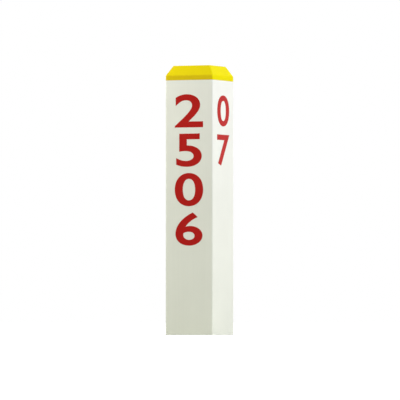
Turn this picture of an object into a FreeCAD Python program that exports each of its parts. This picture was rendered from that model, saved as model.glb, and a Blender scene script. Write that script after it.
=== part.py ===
import FreeCAD, Part
import Sketcher

import math
import os

# Utility marker post: a hollow square post, closed by a bevelled cap whose collar sits in
# the post's open top. The foot stands on z = 0, the post's axis is +Z, the front with the
# tall number faces -Y and the side with the short number faces +X. Lengths are millimetres.

# Driving dimensions: name, value and what it measures
SIZES = (
    ("post_side", 150, "outside of the square post, from flat to flat"),
    ("post_length", 737, "cut length of the hollow post, without its cap"),
    ("post_wall", 5, "wall of the hollow post"),
    ("corner_radius", 4, "outside corners of the post and of the cap"),
    ("bore_radius", 3, "inside corners of the hollow post"),
    ("broken_edge", 0.5, "bevel on the post's sawn ends and under the cap's rim"),
    ("rim_height", 14, "upright rim of the cap, up to where the slopes would meet it"),
    ("slope_height", 29, "rise of the cap's four slopes"),
    ("slope_inset", 17, "how far each slope leans in before the flat top"),
    ("shoulder_radius", 8, "rounding between the rim and the slopes"),
    ("crest_radius", 2.5, "rounding between the slopes and the flat top"),
    ("roof_wall", 4, "wall of the cap's flat top"),
    ("slope_wall", 4, "wall of the cap's slopes, measured square to them"),
    ("collar_depth", 25, "how far the cap's collar reaches into the post"),
    ("collar_wall", 3, "wall of the collar"),
    ("collar_gap", 0.25, "clearance between the collar and the inside of the post"),
    ("collar_lead", 1.5, "bevel that guides the collar into the post"),
    ("core_radius", 2.5, "inside corners of the hollow cap"),
)

# Sizes that follow from the driving dimensions, as formulas
BORE_SIDE = "(Sizes.post_side - 2 * Sizes.post_wall)"
COLLAR_SIDE = f"({BORE_SIDE} - 2 * Sizes.collar_gap)"
COLLAR_RADIUS = "(Sizes.bore_radius - Sizes.collar_gap)"
CORE_SIDE = f"({COLLAR_SIDE} - 2 * Sizes.collar_wall)"
CAP_HEIGHT = "(Sizes.rim_height + Sizes.slope_height)"
LEAN = "(Sizes.slope_inset / Sizes.slope_height)"
# The slopes' wall is thicker measured level than square to them
LEVEL_WALL = f"(Sizes.slope_wall * sqrt(1 + {LEAN} ^ 2))"
# The cap's core is upright up to its bend, and leans in with the slopes above it
CORE_BEND = f"(Sizes.rim_height + ((Sizes.post_side - {CORE_SIDE}) / 2 - {LEVEL_WALL}) / {LEAN})"
ROOF_HEIGHT = f"({CAP_HEIGHT} - Sizes.roof_wall)"
ROOF_INSET = f"({LEVEL_WALL} + {LEAN} * ({ROOF_HEIGHT} - Sizes.rim_height))"
ROOF_SIDE = f"(Sizes.post_side - 2 * {ROOF_INSET})"

# How a sketch names the ends and the centre of a curve, and its own origin
START, END, CENTRE = range(1, 4)
ORIGIN = (-1, 1)

SIDES = 4
FULL_TURN = 360
UPWARDS = FreeCAD.Vector(0, 0, 1)
NEARLY_NONE = 1e-4


def add_sizes(document):
    """Keeps the driving dimensions in a sheet, one row each, under their own names."""
    sheet = document.addObject("Spreadsheet::Sheet", "Sizes")
    for row, (name, value, meaning) in enumerate(SIZES, start=1):
        sheet.set(f"A{row}", name)
        sheet.set(f"B{row}", str(value))
        sheet.set(f"C{row}", meaning)
        sheet.setAlias(f"B{row}", name)
    document.recompute()
    return sheet


def add_body(document, label):
    """Starts one physical piece. Its label names its file."""
    body = document.addObject("PartDesign::Body", label)
    body.Label = label
    return body


def find_origin(body, role):
    """Finds a plane or an axis of the body's own origin."""
    return next(item for item in body.Origin.OriginFeatures if item.Role == role)


def add_sketch(body, name, plane, height="0"):
    """Starts a drawing on a plane of the body's origin, or at a height above it."""
    sketch = body.newObject("Sketcher::SketchObject", name)
    sketch.AttachmentSupport = [(find_origin(body, plane), "")]
    sketch.MapMode = "FlatFace"
    sketch.setExpression("AttachmentOffset.Base.z", height)
    return sketch


def add_line(sketch, start, end):
    """Draws a straight line between two points of the sketch."""
    line = Part.LineSegment(FreeCAD.Vector(*start), FreeCAD.Vector(*end))
    return sketch.addGeometry(line)


def add_arc(sketch, centre, radius, first_angle, last_angle):
    """Draws an arc anticlockwise between two angles."""
    circle = Part.Circle(FreeCAD.Vector(*centre), UPWARDS, radius)
    return sketch.addGeometry(Part.ArcOfCircle(circle, first_angle, last_angle))


def constrain(sketch, *rule):
    """Adds a rule between lines, arcs and points of the sketch."""
    return sketch.addConstraint(Sketcher.Constraint(*rule))


def measure(sketch, name, formula, *rule):
    """Adds a named dimension that follows a formula."""
    sketch.renameConstraint(constrain(sketch, *rule), name)
    sketch.setExpression(f"Constraints.{name}", formula)


def draw_rounded_square(body, name, side, radius, height="0"):
    """Draws a square with rounded corners round the body's axis."""
    sketch = add_sketch(body, name, "XY_Plane", height)

    # A first guess, which the constraints bring to size
    reach, bend = 50, 5
    middle = reach - bend
    corners = ((middle, middle), (-middle, middle), (-middle, -middle), (middle, -middle))
    arcs = []
    for quarter, corner in enumerate(corners):
        angle = quarter * math.pi / 2
        arcs.append(add_arc(sketch, corner, bend, angle, angle + math.pi / 2))
    lines = [
        add_line(sketch, (reach, -middle), (reach, middle)),
        add_line(sketch, (middle, reach), (-middle, reach)),
        add_line(sketch, (-reach, middle), (-reach, -middle)),
        add_line(sketch, (-middle, -reach), (middle, -reach)),
    ]

    for quarter, direction in enumerate(("Vertical", "Horizontal") * 2):
        following = lines[(quarter + 1) % SIDES]
        constrain(sketch, direction, lines[quarter])
        constrain(sketch, "Tangent", lines[quarter], END, arcs[quarter], START)
        constrain(sketch, "Tangent", arcs[quarter], END, following, START)
    for arc in arcs[1:]:
        constrain(sketch, "Equal", arcs[0], arc)
    constrain(sketch, "Equal", lines[0], lines[1])
    constrain(sketch, "Symmetric", arcs[0], CENTRE, arcs[2], CENTRE, *ORIGIN)
    measure(sketch, "side", side, "DistanceX", lines[2], START, lines[0], START, 2 * reach)
    measure(sketch, "radius", radius, "Radius", arcs[0], bend)
    return sketch


def draw_cap_side(body):
    """Draws what leaves the block to make one side of the cap: rim, shoulder and slope."""
    sketch = add_sketch(body, "CapSide", "XZ_Plane")

    # A first guess, which the constraints bring to size
    reach, crest, inset, bend = 50, 40, 20, 5
    meeting_height = crest - inset
    bend_height = meeting_height - bend
    rim = add_line(sketch, (reach, bend_height), (reach, crest))
    top = add_line(sketch, (reach, crest), (reach - inset, crest))
    slope = add_line(sketch, (reach - inset, crest), (reach - bend, meeting_height))
    shoulder = add_arc(sketch, (reach - bend, bend_height), bend, 0, math.pi / 4)
    # Rim and slope would meet in this point if the shoulder were sharp
    meeting = sketch.addGeometry(Part.Point(FreeCAD.Vector(reach, meeting_height)), True)

    constrain(sketch, "Vertical", rim)
    constrain(sketch, "Horizontal", top)
    constrain(sketch, "Coincident", rim, END, top, START)
    constrain(sketch, "Coincident", top, END, slope, START)
    constrain(sketch, "Tangent", slope, END, shoulder, END)
    constrain(sketch, "Tangent", shoulder, START, rim, START)
    constrain(sketch, "PointOnObject", meeting, START, rim)
    constrain(sketch, "PointOnObject", meeting, START, slope)
    corner = (*ORIGIN, rim, END)
    measure(sketch, "reach", "Sizes.post_side / 2", "DistanceX", *corner, reach)
    measure(sketch, "crest", CAP_HEIGHT, "DistanceY", *corner, crest)
    measure(sketch, "inset", "Sizes.slope_inset", "DistanceX", top, END, top, START, inset)
    rim_top = (*ORIGIN, meeting, START)
    measure(sketch, "rim", "Sizes.rim_height", "DistanceY", *rim_top, meeting_height)
    measure(sketch, "shoulder", "Sizes.shoulder_radius", "Radius", shoulder, bend)
    return sketch


def add_pad(body, name, outline, length, downwards=False):
    """Raises an outline into a solid."""
    pad = body.newObject("PartDesign::Pad", name)
    pad.Profile = outline
    pad.Reversed = downwards
    pad.setExpression("Length", length)
    return pad


def add_pocket(body, name, outline, length):
    """Cuts an outline upwards through the solid."""
    pocket = body.newObject("PartDesign::Pocket", name)
    pocket.Profile = outline
    pocket.Reversed = True
    pocket.setExpression("Length", length)
    return pocket


def find_edges(feature, is_wanted):
    """Names the edges of a feature that pass a test."""
    feature.Document.recompute()
    return [
        f"Edge{number}"
        for number, edge in enumerate(feature.Shape.Edges, start=1)
        if is_wanted(edge)
    ]


def level_edges(feature, *heights):
    """Names the edges that run level at any of the heights."""

    def is_level(edge):
        return any(
            all(abs(vertex.Z - height) < NEARLY_NONE for vertex in edge.Vertexes)
            for height in heights
        )

    return find_edges(feature, is_level)


def corner_edges(feature):
    """Names the edges that climb the corners: their middles lie on the square's diagonals."""

    def is_on_diagonal(edge):
        middle = edge.CenterOfMass
        return abs(abs(middle.x) - abs(middle.y)) < NEARLY_NONE

    return find_edges(feature, is_on_diagonal)


def add_bevel(body, name, feature, edges, size):
    """Bevels edges of the body's last feature."""
    bevel = body.newObject("PartDesign::Chamfer", name)
    bevel.Base = (feature, edges)
    bevel.setExpression("Size", size)
    return bevel


def add_rounding(body, name, feature, edges, radius):
    """Rounds edges of the body's last feature."""
    rounding = body.newObject("PartDesign::Fillet", name)
    rounding.Base = (feature, edges)
    rounding.setExpression("Radius", radius)
    return rounding


def make_post_tube(document, sizes):
    """A square tube drawn to one section all the way, and sawn square at both ends."""
    body = add_body(document, "post_tube")
    outside = draw_rounded_square(
        body, "PostOutside", "Sizes.post_side", "Sizes.corner_radius"
    )
    add_pad(body, "Post", outside, "Sizes.post_length")
    inside = draw_rounded_square(body, "PostInside", BORE_SIDE, "Sizes.bore_radius")
    bore = add_pocket(body, "Bore", inside, "Sizes.post_length")
    ends = level_edges(bore, 0, sizes.post_length)
    add_bevel(body, "SawnEnds", bore, ends, "Sizes.broken_edge")
    return body


def add_cap_outside(body, sizes):
    """Cuts a square block to the cap's rim, slopes and flat top, and rounds its corners."""
    block = body.newObject("PartDesign::AdditiveBox", "Block")
    block.setExpression("Length", "Sizes.post_side")
    block.setExpression("Width", "Sizes.post_side")
    block.setExpression("Height", CAP_HEIGHT)
    block.setExpression("Placement.Base.x", "-Sizes.post_side / 2")
    block.setExpression("Placement.Base.y", "-Sizes.post_side / 2")
    side = add_pocket(body, "Side", draw_cap_side(body), "Sizes.post_side")
    side.SideType = "Symmetric"
    sides = body.newObject("PartDesign::PolarPattern", "Sides")
    sides.Originals = [side]
    sides.Axis = (find_origin(body, "Z_Axis"), [""])
    sides.Angle = FULL_TURN
    sides.Occurrences = SIDES
    body.Tip = sides
    corners = add_rounding(
        body, "Corners", sides, corner_edges(sides), "Sizes.corner_radius"
    )
    crest_edges = level_edges(corners, sizes.rim_height + sizes.slope_height)
    crest = add_rounding(body, "Crest", corners, crest_edges, "Sizes.crest_radius")
    add_bevel(body, "RimEdge", crest, level_edges(crest, 0), "Sizes.broken_edge")


def add_collar(body, sizes):
    """Adds the square collar that plugs the post, with a lead at its lower end."""
    outline = draw_rounded_square(body, "CollarOutside", COLLAR_SIDE, COLLAR_RADIUS)
    collar = add_pad(body, "Collar", outline, "Sizes.collar_depth", downwards=True)
    lower_edges = level_edges(collar, -sizes.collar_depth)
    add_bevel(body, "CollarLead", collar, lower_edges, "Sizes.collar_lead")


def cut_cap_core(body):
    """Hollows the cap from below: upright walls, then a roof that leans with the slopes."""
    mouth = draw_rounded_square(
        body, "CoreMouth", CORE_SIDE, "Sizes.core_radius", "-Sizes.collar_depth"
    )
    add_pocket(body, "Core", mouth, f"Sizes.collar_depth + {CORE_BEND}")
    bend = draw_rounded_square(body, "CoreBend", CORE_SIDE, "Sizes.core_radius", CORE_BEND)
    roof = draw_rounded_square(body, "CoreRoof", ROOF_SIDE, "Sizes.core_radius", ROOF_HEIGHT)
    leaning_core = body.newObject("PartDesign::SubtractiveLoft", "LeaningCore")
    leaning_core.Profile = bend
    leaning_core.Sections = [roof]
    leaning_core.Ruled = True


def make_top_cap(document, sizes):
    """A moulded cap. The ledge at its own z = 0 rests on the sawn top of the post."""
    body = add_body(document, "top_cap")
    body.setExpression("Placement.Base.z", "Sizes.post_length")
    add_cap_outside(body, sizes)
    add_collar(body, sizes)
    cut_cap_core(body)
    return body


def check(document, bodies):
    """Stops before anything is written if a feature failed or a piece isn't one sound solid."""
    for item in document.Objects:
        if {"Invalid", "Error"} & set(item.State):
            raise RuntimeError(f"{item.Label} failed: {item.State}")
    for body in bodies:
        shape = body.Shape
        if shape.isNull() or not shape.isValid() or len(shape.Solids) != 1:
            raise RuntimeError(f"{body.Label} isn't one valid solid")
        box = shape.BoundBox
        print(
            f"{body.Label}: {shape.Volume:.0f} mm3,"
            f" {box.XLength:.2f} x {box.YLength:.2f} x {box.ZLength:.2f} mm,"
            f" lowest at z = {box.ZMin:.2f}"
        )


def main():
    document = FreeCAD.newDocument("UtilityMarkerPost")
    sizes = add_sizes(document)
    bodies = [make_post_tube(document, sizes), make_top_cap(document, sizes)]
    document.recompute()
    check(document, bodies)
    os.makedirs("parts", exist_ok=True)
    for body in bodies:
        body.Shape.exportStep(os.path.join("parts", f"{body.Label}.step"))


main()
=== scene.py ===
# %% [markdown]
# # Dressing a square marker post
#
# The real object stands over a buried cable. It is a square tube of white glass fibre, with a
# moulded yellow cap glued into its top and numerals of red film on two of its faces.
# The tube and the cap come from CAD with their true shape, so here they only get their finish. The
# numerals are modelled here, because a film 0.25 mm thick is all looks.
# Everything is in metres. Z is up, the front faces -Y, and the foot stands on the floor at Z 0.

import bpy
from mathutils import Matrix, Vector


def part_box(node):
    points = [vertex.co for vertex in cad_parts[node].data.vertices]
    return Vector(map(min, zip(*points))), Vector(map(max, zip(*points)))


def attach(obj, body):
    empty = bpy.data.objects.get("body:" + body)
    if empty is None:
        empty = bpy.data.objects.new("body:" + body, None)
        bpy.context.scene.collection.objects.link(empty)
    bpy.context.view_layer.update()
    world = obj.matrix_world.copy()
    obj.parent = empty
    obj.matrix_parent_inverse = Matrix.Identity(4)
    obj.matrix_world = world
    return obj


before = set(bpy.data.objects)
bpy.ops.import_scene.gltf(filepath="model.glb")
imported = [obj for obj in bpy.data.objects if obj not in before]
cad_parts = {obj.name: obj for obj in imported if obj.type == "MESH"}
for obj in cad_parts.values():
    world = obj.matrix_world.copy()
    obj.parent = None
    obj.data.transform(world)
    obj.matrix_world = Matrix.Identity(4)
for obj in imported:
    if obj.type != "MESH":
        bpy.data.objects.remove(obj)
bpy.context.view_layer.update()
print("CAD pieces:", ", ".join(sorted(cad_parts)))

# %% Read the post's own sizes
import math

import bpy
from mathutils import Vector

MM = 0.001
post_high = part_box("post_tube")[1]
cap_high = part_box("top_cap")[1]
half_side = post_high.x
post_top = post_high.z
print(f"post {2 * half_side / MM:.0f} mm square, joint at {post_top / MM:.0f} mm,",
      f"top at {cap_high.z / MM:.0f} mm")

# %% [markdown]
# ## Colours
#
# A colour picked on a screen is an sRGB value, but a shader reckons in linear light. Screen numbers
# typed straight into a shader come out pale, so one function converts every hex colour here.

# %% Turn a screen colour to linear light
BRIGHTEST = 255
TOE_END, TOE_SLOPE, CURVE_OFFSET, CURVE_POWER = 0.04045, 12.92, 0.055, 2.4


def linear(screen_hex):
    """Linear red, green, blue and alpha of an sRGB hex colour, by the standard's own curve."""
    screen = [int(screen_hex[i:i + 2], 16) / BRIGHTEST for i in (0, 2, 4)]
    light = [
        s / TOE_SLOPE if s <= TOE_END
        else ((s + CURVE_OFFSET) / (1 + CURVE_OFFSET)) ** CURVE_POWER
        for s in screen
    ]
    return (*light, 1.0)


print("mid grey BCBCBC in linear light:", round(linear("BCBCBC")[0], 2))

# %% [markdown]
# ## Nodes
#
# Every finish below is a small tree of nodes. A finish could be painted as an image, but noise on
# Object coordinates has no seams, needs no unwrapping, and keeps its real size in millimetres.
# One function adds any node, with its options and its inputs. An input is a value, or another
# node's output to join it to. The sockets of a Mix node share their names, so they are told apart
# by number.

# %% Add a node
MIX_COLOURS = {"data_type": "RGBA"}
MIX_SHARE, MIX_FIRST, MIX_SECOND, MIX_RESULT = 0, 6, 7, 2


def add_node(tree, kind, options=None, inputs=None):
    """A new node. options are its settings, and inputs its sockets by name or number."""
    node = tree.nodes.new(kind)
    for name, value in (options or {}).items():
        setattr(node, name, value)
    for socket, value in (inputs or {}).items():
        if isinstance(value, bpy.types.NodeSocket):
            tree.links.new(value, node.inputs[socket])
        else:
            node.inputs[socket].default_value = value
    return node


def start_material(name):
    """A material with an empty tree, and the Object coordinates that its patterns read."""
    material = bpy.data.materials.new(name)
    material.use_nodes = True
    material.node_tree.nodes.clear()
    place = add_node(material.node_tree, "ShaderNodeTexCoord").outputs["Object"]
    return material, material.node_tree, place


print(f"a Mix node takes its share at socket {MIX_SHARE},",
      f"and its two colours at {MIX_FIRST} and {MIX_SECOND}")

# %% [markdown]
# No real surface is quite even, so every finish uses soft noise, in its colour, its shine or its
# relief. Most of Blender's noise lies between 0.3 and 0.7, and a Map Range spreads that part over
# the range asked for.

# %% Add soft unevenness
NOISE_LOW, NOISE_HIGH = 0.3, 0.7


def add_unevenness(tree, place, size, low=0.0, high=1.0, detail=2.0):
    """A number that wanders from low to high over the surface. size is how far apart its patches
    lie, along X, Y and Z, in metres."""
    stretched = add_node(tree, "ShaderNodeMapping",
                         inputs={"Vector": place, "Scale": [1 / s for s in size]})
    noise = add_node(tree, "ShaderNodeTexNoise",
                     inputs={"Vector": stretched.outputs["Vector"], "Scale": 1.0,
                             "Detail": detail})
    spread = add_node(tree, "ShaderNodeMapRange",
                      inputs={"Value": noise.outputs["Fac"], "From Min": NOISE_LOW,
                              "From Max": NOISE_HIGH, "To Min": low, "To Max": high})
    return spread.outputs["Result"]


print(f"noise from {NOISE_LOW} to {NOISE_HIGH} is spread over the range asked for")

# %% [markdown]
# ## The post: pultruded glass fibre, white all through
#
# The tube is pultruded: glass mat and white polyester resin are pulled through a hot polished die.
# The die leaves a satin face with very fine lines along the pull, and a slow drift in tone where
# the resin was richer. Towards the foot the white turns a little darker and yellower.
# The lines could be modelled, but they are hundredths of a millimetre deep, so they are bump, with
# a trace of tone and shine.

# %% Mix the white of the polished faces
# The white at the top, and the slightly darker and yellower white at the foot.
TOP_WHITE, FOOT_WHITE = "E8E9DF", "E5E8D8"
LINE_SIZE = (5 * MM, 5 * MM, 300 * MM)
LINE_CONTRAST = 0.02
DRIFT_SIZE = (90 * MM, 90 * MM, 90 * MM)
DRIFT_DARK, DRIFT_LIGHT = 0.98, 1.01


def add_polished_white(tree, place, lines):
    """The white that the die leaves. lines is 0 to 1, from the dark side of a die line to its
    light side."""
    height = add_node(tree, "ShaderNodeSeparateXYZ", inputs={"Vector": place}).outputs["Z"]
    # The white runs darker and yellower from the top down to the foot.
    towards_foot = add_node(tree, "ShaderNodeMapRange",
                    inputs={"Value": height, "From Min": post_top, "From Max": 0.0})
    tone = add_node(tree, "ShaderNodeMix", MIX_COLOURS,
                    {MIX_SHARE: towards_foot.outputs["Result"], MIX_FIRST: linear(TOP_WHITE),
                     MIX_SECOND: linear(FOOT_WHITE)})
    drift = add_unevenness(tree, place, DRIFT_SIZE, low=DRIFT_DARK, high=DRIFT_LIGHT)
    brightness = add_node(tree, "ShaderNodeMath", {"operation": "MULTIPLY_ADD"},
                          {0: lines, 1: LINE_CONTRAST, 2: drift})
    white = add_node(tree, "ShaderNodeHueSaturation",
                     inputs={"Color": tone.outputs[MIX_RESULT],
                             "Value": brightness.outputs["Value"]})
    return white.outputs["Color"]


print(f"die lines drawn {LINE_SIZE[0] / MM:.0f} mm apart and {LINE_SIZE[2] / MM:.0f} mm long")

# %% [markdown]
# The plain bore and the saw leave a duller face, where flecks of glass show through. These places
# could be painted as a mask, but where they lie tells them apart: the bore is deeper in than the
# skin of the outer faces, and a sawn end is within a hair of the tube's length. So the mask is
# reckoned from the coordinates. The tube is square, so the larger of a point's distances from the
# middle, along X and along Y, tells how far out it lies.

# %% Find the raw faces
SKIN_DEPTH = 2 * MM
SAWN_DEPTH = 0.25 * MM


def add_raw_mask(tree, place):
    """1 inside the bore and on the two sawn ends, and 0 on the faces that the die polished."""
    split = add_node(tree, "ShaderNodeSeparateXYZ", inputs={"Vector": place}).outputs
    sideways, forwards = [
        add_node(tree, "ShaderNodeMath", {"operation": "ABSOLUTE"}, {0: split[axis]})
        for axis in ("X", "Y")
    ]
    reach = add_node(tree, "ShaderNodeMath", {"operation": "MAXIMUM"},
                     {0: sideways.outputs["Value"], 1: forwards.outputs["Value"]}).outputs["Value"]
    mask = 0.0
    for value, test, limit in ((reach, "LESS_THAN", half_side - SKIN_DEPTH),
                               (split["Z"], "LESS_THAN", SAWN_DEPTH),
                               (split["Z"], "GREATER_THAN", post_top - SAWN_DEPTH)):
        passed = add_node(tree, "ShaderNodeMath", {"operation": test}, {0: value, 1: limit})
        mask = add_node(tree, "ShaderNodeMath", {"operation": "MAXIMUM"},
                        {0: mask, 1: passed.outputs["Value"]}).outputs["Value"]
    return mask


print(f"raw within {SAWN_DEPTH / MM} mm of the ends, and deeper in than {SKIN_DEPTH / MM:.0f} mm")

# %% Make the post's finish
RAW_DARK, RAW_LIGHT = "CDCFC2", "DEDFD3"
RAW_ROUGHNESS = 0.8
FLECK_SIZE = (3 * MM, 3 * MM, 3 * MM)
LINE_DETAIL = 3.0
LINE_DEPTH = 0.05 * MM
SATIN_LOW, SATIN_HIGH = 0.34, 0.48
POLYESTER_IOR = 1.52


def make_pultruded_white():
    """Satin white polyester. Real die lines are 0.5 mm apart, and are drawn ten times as wide to
    show."""
    material, tree, place = start_material("polyester_glass_fibre_pultruded_white")
    lines = add_unevenness(tree, place, LINE_SIZE, detail=LINE_DETAIL)
    flecks = add_unevenness(tree, place, FLECK_SIZE)
    raw_white = add_node(tree, "ShaderNodeMix", MIX_COLOURS,
                         {MIX_SHARE: flecks, MIX_FIRST: linear(RAW_DARK),
                          MIX_SECOND: linear(RAW_LIGHT)})
    raw = add_raw_mask(tree, place)
    colour = add_node(tree, "ShaderNodeMix", MIX_COLOURS,
                      {MIX_SHARE: raw, MIX_FIRST: add_polished_white(tree, place, lines),
                       MIX_SECOND: raw_white.outputs[MIX_RESULT]})
    satin = add_unevenness(tree, place, LINE_SIZE, low=SATIN_LOW, high=SATIN_HIGH)
    roughness = add_node(tree, "ShaderNodeMapRange",
                         inputs={"Value": raw, "To Min": satin, "To Max": RAW_ROUGHNESS})
    bump = add_node(tree, "ShaderNodeBump", inputs={"Height": lines, "Distance": LINE_DEPTH})
    surface = add_node(tree, "ShaderNodeBsdfPrincipled",
                       inputs={"Base Color": colour.outputs[MIX_RESULT],
                               "Roughness": roughness.outputs["Result"], "IOR": POLYESTER_IOR,
                               "Normal": bump.outputs["Normal"]})
    add_node(tree, "ShaderNodeOutputMaterial", inputs={"Surface": surface.outputs["BSDF"]})
    return material


def dress(node_name, material):
    """Gives a CAD piece its finish. Its mesh stays as it is."""
    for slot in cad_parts[node_name].material_slots:
        slot.material = material
    print(node_name, "wears", material.name)


dress("post_tube", make_pultruded_white())

# %% [markdown]
# ## The cap: ABS, moulded yellow
#
# The cap is ABS, coloured right through and injection moulded. Its two yellows are painted light
# and shade: faces turned towards the key lamp get a lemon yellow, and faces turned away a deeper,
# darker one. The share of each is reckoned from the way that the surface faces.

# %% Find how squarely the key lamp's light falls
# The key lamp's direction, from which light and shade are painted into the cap's yellow.
PAINTED_LIGHT_DIRECTION = Vector((0.84, -0.15, 0.53)).normalized()
LEAST_LIT, MOST_LIT = 0.1, 0.65


def add_painted_light_share(tree):
    """0 on what is turned away from the key lamp, and 1 on what its light falls on squarely: the
    share of painted light.
    """
    facing = add_node(tree, "ShaderNodeNewGeometry").outputs["Normal"]
    light_facing = add_node(tree, "ShaderNodeVectorMath", {"operation": "DOT_PRODUCT"},
                        {0: facing, 1: PAINTED_LIGHT_DIRECTION})
    painted_light_share = add_node(tree, "ShaderNodeMapRange",
                         inputs={"Value": light_facing.outputs["Value"], "From Min": LEAST_LIT,
                                 "From Max": MOST_LIT})
    return painted_light_share.outputs["Result"]


# How squarely the painted light falls on the front, the right side and the top.
print(f"share of the full sun: front {-PAINTED_LIGHT_DIRECTION.y:.2f}, right side {PAINTED_LIGHT_DIRECTION.x:.2f}, top {PAINTED_LIGHT_DIRECTION.z:.2f}")

# %% [markdown]
# The cap's mould was spark-eroded, which prints a fine even grain. The grain could be modelled only
# with millions of faces, so it is bump. It breaks up what a smooth face would mirror, and that is
# why the roughness is high and the specular level low. The colour also drifts a little where the
# melt flowed.

# %% Make the cap's finish
# The deeper yellow is painted shade, for faces turned from the key lamp. The lemon yellow is
# painted light, for faces turned towards it.
SHADED_SIDE_YELLOW, LIT_SIDE_YELLOW = "DDC012", "E3D600"
GRAIN_SIZE = (1.5 * MM, 1.5 * MM, 1.5 * MM)
GRAIN_DEPTH = 0.15 * MM
FLOW_SIZE = (45 * MM, 45 * MM, 45 * MM)
FLOW_DARK, FLOW_LIGHT = 0.98, 1.02
MATT_LOW, MATT_HIGH = 0.75, 0.83
ABS_IOR = 1.53
ABS_SPECULAR = 0.05


def make_moulded_yellow():
    """Matt yellow ABS. Spark grain is about 0.1 mm wide, and is drawn 15 times as wide to show,
    and 15 times as deep to keep its slopes."""
    material, tree, place = start_material("abs_moulded_yellow")
    # Painted light and shade: the lit and shaded yellows, mixed by how the surface faces the key
    # lamp.
    yellow = add_node(tree, "ShaderNodeMix", MIX_COLOURS,
                      {MIX_SHARE: add_painted_light_share(tree), MIX_FIRST: linear(SHADED_SIDE_YELLOW),
                       MIX_SECOND: linear(LIT_SIDE_YELLOW)})
    flow = add_unevenness(tree, place, FLOW_SIZE, low=FLOW_DARK, high=FLOW_LIGHT)
    colour = add_node(tree, "ShaderNodeHueSaturation",
                      inputs={"Color": yellow.outputs[MIX_RESULT], "Value": flow})
    grain = add_unevenness(tree, place, GRAIN_SIZE)
    bump = add_node(tree, "ShaderNodeBump", inputs={"Height": grain, "Distance": GRAIN_DEPTH})
    roughness = add_unevenness(tree, place, FLOW_SIZE, low=MATT_LOW, high=MATT_HIGH)
    surface = add_node(tree, "ShaderNodeBsdfPrincipled",
                       inputs={"Base Color": colour.outputs["Color"], "Roughness": roughness,
                               "IOR": ABS_IOR, "Specular IOR Level": ABS_SPECULAR,
                               "Normal": bump.outputs["Normal"]})
    add_node(tree, "ShaderNodeOutputMaterial", inputs={"Surface": surface.outputs["BSDF"]})
    return material


dress("top_cap", make_moulded_yellow())

# %% [markdown]
# ## The numerals: cast vinyl film, red
#
# The numerals are cut from red cast vinyl and rubbed down on the faces. They could be a colour in
# the post's material, but cut film has an edge that catches light, so each one is its own thin
# closed mesh. The film follows the face below it, and keeps a faint orange peel.

# %% Make the film's finish
FILM_DARK, FILM_LIGHT = "AE150F", "B61B15"
FILM_ROUGHNESS = 0.45
PEEL_SIZE = (3 * MM, 3 * MM, 3 * MM)
PEEL_DEPTH = 0.01 * MM
VINYL_IOR = 1.53
VINYL_SPECULAR = 0.1


def make_red_film():
    """Satin red vinyl. Its orange peel is a few millimetres across."""
    material, tree, place = start_material("vinyl_film_cast_red")
    fade = add_unevenness(tree, place, DRIFT_SIZE)
    colour = add_node(tree, "ShaderNodeMix", MIX_COLOURS,
                      {MIX_SHARE: fade, MIX_FIRST: linear(FILM_DARK),
                       MIX_SECOND: linear(FILM_LIGHT)})
    peel = add_unevenness(tree, place, PEEL_SIZE)
    bump = add_node(tree, "ShaderNodeBump", inputs={"Height": peel, "Distance": PEEL_DEPTH})
    surface = add_node(tree, "ShaderNodeBsdfPrincipled",
                       inputs={"Base Color": colour.outputs[MIX_RESULT],
                               "Roughness": FILM_ROUGHNESS, "IOR": VINYL_IOR,
                               "Specular IOR Level": VINYL_SPECULAR,
                               "Normal": bump.outputs["Normal"]})
    add_node(tree, "ShaderNodeOutputMaterial", inputs={"Surface": surface.outputs["BSDF"]})
    return material


red_film = make_red_film()
print("film:", red_film.name)

# %% [markdown]
# Each numeral could be drawn as a curve, but Text is quicker: Blender's built-in font has plain,
# even strokes. It is thickened, turned to a mesh, brought to its real height and stood up. Its
# front, edge and back are separate sheets until their doubles are merged.
# Thickening pushes the whole outline out. In an 8 or a 3 of this weight the outline would cross
# itself, so the digits are ones that stay whole.

# %% Cut one numeral
FILM_THICKNESS = 0.25 * MM
STROKE_GROWTH = 0.018
WIDENING = 1.45
WELD_DISTANCE = 0.001 * MM
QUARTER_TURN = math.radians(90)


def cut_numeral(name, digit, height):
    """A closed film numeral of that height, standing up, with its back on the plane Y = 0."""
    bpy.ops.object.select_all(action="DESELECT")
    bpy.ops.object.text_add()
    numeral = bpy.context.object
    numeral.name = name
    numeral.data.body = digit
    numeral.data.extrude = FILM_THICKNESS / 2
    numeral.data.offset = STROKE_GROWTH
    bpy.ops.object.convert(target="MESH")
    lows = [min(v.co[axis] for v in numeral.data.vertices) for axis in range(3)]
    highs = [max(v.co[axis] for v in numeral.data.vertices) for axis in range(3)]
    growth = height / (highs[1] - lows[1])
    numeral.scale = (growth * WIDENING, growth, 1)
    numeral.location = (-numeral.scale.x * (lows[0] + highs[0]) / 2, -FILM_THICKNESS / 2,
                        -growth * (lows[1] + highs[1]) / 2)
    numeral.rotation_euler.x = QUARTER_TURN
    bpy.ops.object.transform_apply()
    bpy.ops.object.mode_set(mode="EDIT")
    bpy.ops.mesh.select_all(action="SELECT")
    bpy.ops.mesh.remove_doubles(threshold=WELD_DISTANCE)
    bpy.ops.mesh.normals_make_consistent(inside=False)
    bpy.ops.object.mode_set(mode="OBJECT")
    return numeral


print(f"film {FILM_THICKNESS / MM} mm thick, digits {WIDENING} times as wide as the font's")

# %% Rub the numerals down on the two faces
NUMERAL_PITCH = 114 * MM
FRONT_HEIGHT, FRONT_MARGIN = 96 * MM, 41 * MM
SIDE_HEIGHT, SIDE_MARGIN = 90 * MM, 43 * MM


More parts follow.
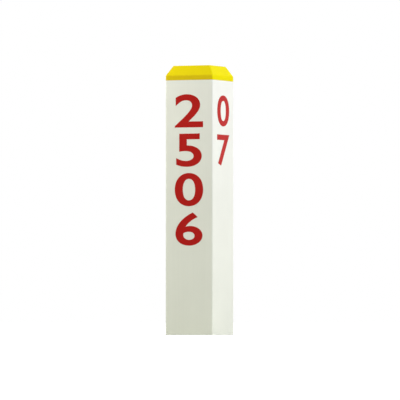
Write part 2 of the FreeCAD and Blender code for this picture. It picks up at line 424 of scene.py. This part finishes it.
def lay_column(face_name, digits, height, margin, turn=0.0):
    """A column of numerals down the middle of a face. margin is what stays bare above it, up to
    the cap, and turn is the face's angle from the front."""
    for count, digit in enumerate(digits):
        numeral = cut_numeral(f"{face_name}_numeral_{count + 1}", digit, height)
        middle = post_top - margin - count * NUMERAL_PITCH - height / 2
        numeral.location = (half_side * math.sin(turn), -half_side * math.cos(turn), middle)
        numeral.rotation_euler.z = turn
        bpy.ops.object.transform_apply()
        numeral.data.materials.append(red_film)
        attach(numeral, "root")
        width = max(numeral.dimensions.x, numeral.dimensions.y)
        print(f"{numeral.name}: {width / MM:.0f} mm wide, middle at {middle / MM:.0f} mm")


lay_column("front", "2506", FRONT_HEIGHT, FRONT_MARGIN)
lay_column("side", "07", SIDE_HEIGHT, SIDE_MARGIN, turn=QUARTER_TURN)

# %% [markdown]
# ## The camera
#
# The post is seen from far away through a long lens, so its edges stay almost parallel. The camera
# is low: the foot shows no slope at all, while the cap's edges fall away from the near corner.
# The angles are measured the way a turntable is: round from the front, and up from level. The lens
# could be tried by eye, but it follows from the distance and from how wide a strip of the world
# the picture takes in at the post.

# %% Set up the camera
AIM = Vector((1.1 * MM, 0.5 * MM, 391.5 * MM))
CAMERA_AROUND, CAMERA_UP = 24.2, -1.3
CAMERA_DISTANCE = 15.0
FRAME_WIDTH = 1.1615


def stand_off(around, up, distance):
    """The point that far from AIM, at angles in degrees round from the front and up from level."""
    around, up = math.radians(around), math.radians(up)
    direction = Vector((math.sin(around) * math.cos(up), -math.cos(around) * math.cos(up),
                        math.sin(up)))
    return AIM + distance * direction


def face_aim(thing):
    """Turns a lamp or camera to look at AIM."""
    thing.rotation_euler = (AIM - thing.location).to_track_quat("-Z", "Y").to_euler()


bpy.ops.object.camera_add(location=stand_off(CAMERA_AROUND, CAMERA_UP, CAMERA_DISTANCE))
camera = bpy.context.object
face_aim(camera)
camera.data.lens = camera.data.sensor_width * CAMERA_DISTANCE / FRAME_WIDTH
bpy.context.scene.camera = camera
print(f"lens {camera.data.lens:.0f} mm, camera {camera.location.z / MM:.0f} mm above the floor")

# %% [markdown]
# ## Light
#
# A plain studio: a big soft key lamp from the right and above, another one behind, a small fill
# from the left, and a dim even world. Together they light an upright face at about strength 1, so a
# colour shows about as it is written. The lamps hang high, so the light falls off gently towards
# the foot.
# The key is a trace cool and the fill a trace warm. That sets the bright side off from the shaded
# one more softly than stronger lamps would.

# %% Hang the lamps
def add_softbox(name, around, up, distance, size, power, tint="FFFFFF"):
    """A round soft lamp that faces the post. power is in watts, and tint is the light's colour."""
    bpy.ops.object.light_add(type="AREA", location=stand_off(around, up, distance))
    lamp = bpy.context.object
    lamp.name = name
    lamp.data.shape = "DISK"
    lamp.data.size = size
    lamp.data.energy = power
    lamp.data.color = linear(tint)[:3]
    lamp.visible_camera = False
    face_aim(lamp)
    print(f"{name}: {power} W, {size} m across, {distance} m away")


add_softbox("key_lamp", around=80, up=32, distance=2.8, size=1.4, power=54, tint="F8F8FF")
add_softbox("fill_lamp", around=-60, up=40, distance=1.4, size=0.8, power=15.6, tint="FFFFF2")
add_softbox("back_lamp", around=165, up=45, distance=3.2, size=1.8, power=40)

# %% [markdown]
# The background is white because of its own colour and not because of more light. The world and the
# floor read Light Path: rays from the camera, reflections and glass see white, and all other rays
# see a dim even room. The floor keeps its own shading under that lift, so the post's shadow still
# shows on it.

# %% Make the room
ROOM_STRENGTH = 0.25
WHITE = linear("FFFFFF")


def seen_directly(tree):
    """1 for a ray from the camera, a reflection or glass, and 0 for any other ray."""
    path = add_node(tree, "ShaderNodeLightPath")
    seen = path.outputs["Is Camera Ray"]
    for kind in ("Is Glossy Ray", "Is Transmission Ray"):
        seen = add_node(tree, "ShaderNodeMath", {"operation": "MAXIMUM"},
                        {0: seen, 1: path.outputs[kind]}).outputs["Value"]
    return seen


world = bpy.data.worlds.new("pale_room")
bpy.context.scene.world = world
world.use_nodes = True
world.node_tree.nodes.clear()
strength = add_node(world.node_tree, "ShaderNodeMapRange",
                    inputs={"Value": seen_directly(world.node_tree), "To Min": ROOM_STRENGTH,
                            "To Max": 1.0})
room = add_node(world.node_tree, "ShaderNodeBackground",
                inputs={"Color": WHITE, "Strength": strength.outputs["Result"]})
add_node(world.node_tree, "ShaderNodeOutputWorld", inputs={"Surface": room.outputs["Background"]})
print(f"{world.name} lights the post at strength {ROOM_STRENGTH}")

# %% Lay the floor
FLOOR_SIZE = 60.0
FLOOR_PAINT = "DCDCDC"
LIFT_NEAR, LIFT_FAR = 0.2, 0.9
LIFT_START, LIFT_END = 0.2, 2.0


def make_pale_floor():
    """Matt pale paint. What the camera sees is lifted to white, more so far from the lamps."""
    material, tree, place = start_material("paint_matt_pale")
    away = add_node(tree, "ShaderNodeVectorMath", {"operation": "LENGTH"}, {0: place})
    lift = add_node(tree, "ShaderNodeMapRange",
                    inputs={"Value": away.outputs["Value"], "From Min": LIFT_START,
                            "From Max": LIFT_END, "To Min": LIFT_NEAR, "To Max": LIFT_FAR})
    seen_lift = add_node(tree, "ShaderNodeMath", {"operation": "MULTIPLY"},
                         {0: seen_directly(tree), 1: lift.outputs["Result"]})
    paint = add_node(tree, "ShaderNodeBsdfDiffuse", inputs={"Color": linear(FLOOR_PAINT)})
    glow = add_node(tree, "ShaderNodeEmission",
                    inputs={"Color": WHITE, "Strength": seen_lift.outputs["Value"]})
    surface = add_node(tree, "ShaderNodeAddShader",
                       inputs={0: paint.outputs["BSDF"], 1: glow.outputs["Emission"]})
    add_node(tree, "ShaderNodeOutputMaterial", inputs={"Surface": surface.outputs["Shader"]})
    return material


bpy.ops.mesh.primitive_plane_add(size=FLOOR_SIZE)
floor = bpy.context.object
floor.name = "floor"
floor.data.materials.append(make_pale_floor())
print(f"floor {FLOOR_SIZE:.0f} m square, lifted by {LIFT_NEAR} at the post and {LIFT_FAR} far off")

# %% [markdown]
# ## Finish
#
# The standard view shows colours as they are written.

# %% Choose the view
bpy.context.scene.view_settings.view_transform = "Standard"
